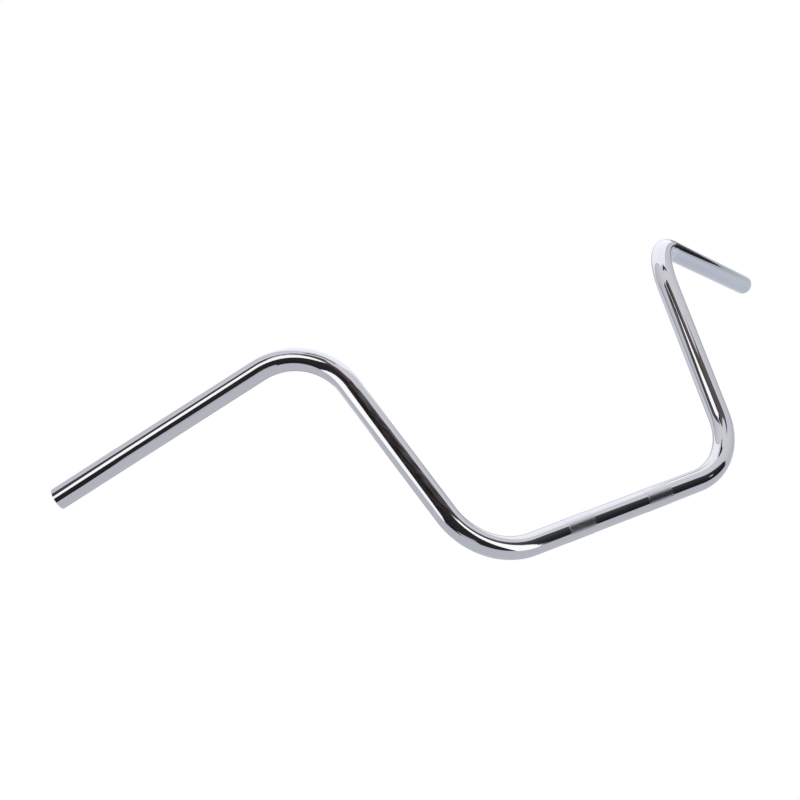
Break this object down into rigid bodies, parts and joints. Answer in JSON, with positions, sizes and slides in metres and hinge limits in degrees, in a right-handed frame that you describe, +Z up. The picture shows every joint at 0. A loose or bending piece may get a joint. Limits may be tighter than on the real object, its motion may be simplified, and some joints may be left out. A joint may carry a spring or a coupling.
{
  "type": "ape hanger handlebar",
  "caption": "Chrome-plated steel tube handlebar of the ape hanger type, bent into tall splayed risers and swept-back grips, with knurled seats for its clamps.",
  "frame": {"origin": "middle of the clamp section, on the tube's axis", "axes": "+X along the clamp section, +Z up with the bar lying on a table on its clamp section and the rims of its two ends, +Y towards the grips"},
  "size_m": [0.9094, 0.327, 0.1536],
  "materials": {
    "chromed_steel": "polished chrome plate over steel tube, dull on the knurled seats"
  },
  "bodies": {
    "root": {"handlebar": "chromed_steel"}
  },
  "joints": []
}
